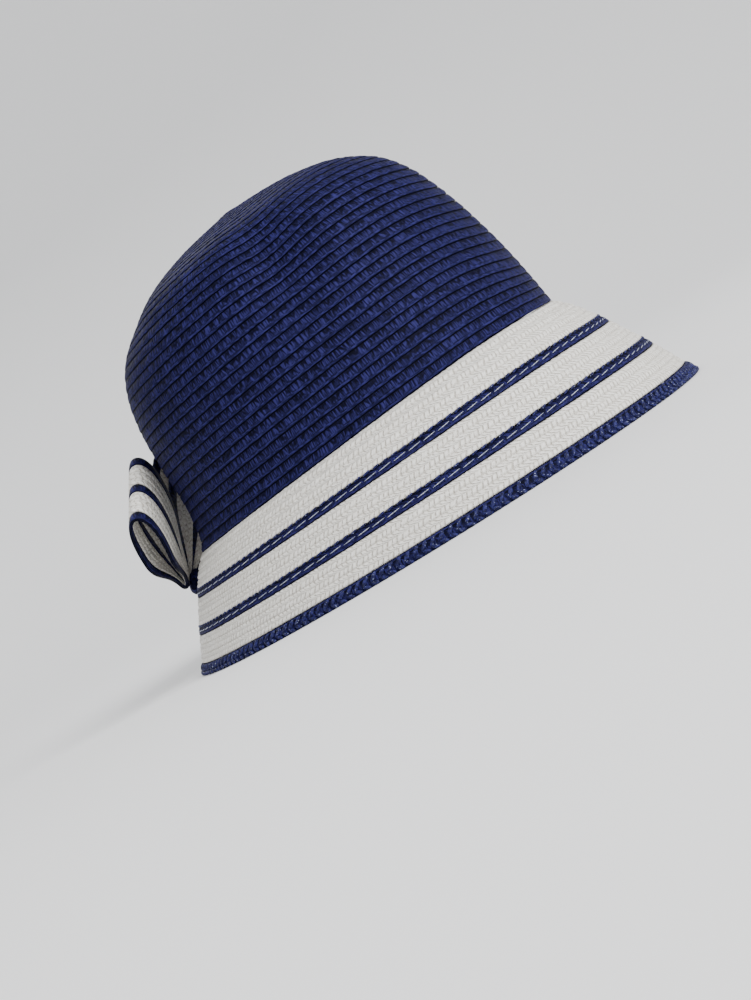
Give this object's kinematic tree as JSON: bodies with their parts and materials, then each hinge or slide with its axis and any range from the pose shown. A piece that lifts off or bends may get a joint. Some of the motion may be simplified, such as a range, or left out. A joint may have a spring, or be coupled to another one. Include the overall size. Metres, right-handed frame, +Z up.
{
  "type": "cloche straw hat with a bow",
  "caption": "Cloche hat of sewn straw braid: domed dark crown, sloping pale brim with dark stripes and bound edge, loop bow at the back.",
  "frame": {"origin": "middle of the rim, on the plane that the rim rests on", "axes": "+X to the wearer's front, -Y to the wearer's right, +Z up through the crown"},
  "size_m": [0.2758, 0.2392, 0.1789],
  "materials": {
    "navy_straw": "satin plaited paper straw",
    "white_straw": "satin plaited paper straw"
  },
  "bodies": {
    "root": {"crown": "navy_straw", "brim_upper_band": "white_straw", "brim_upper_stripe": "navy_straw", "brim_middle_band": "white_straw", "brim_lower_stripe": "navy_straw", "brim_lower_band": "white_straw", "brim_edge": "navy_straw", "bow_right_lower_edge": "navy_straw", "bow_right_lower_band": "white_straw", "bow_right_stripe": "navy_straw", "bow_right_upper_band": "white_straw", "bow_right_upper_edge": "navy_straw", "bow_left_lower_edge": "navy_straw", "bow_left_lower_band": "white_straw", "bow_left_stripe": "navy_straw", "bow_left_upper_band": "white_straw", "bow_left_upper_edge": "navy_straw", "bow_knot": "navy_straw"}
  },
  "joints": []
}
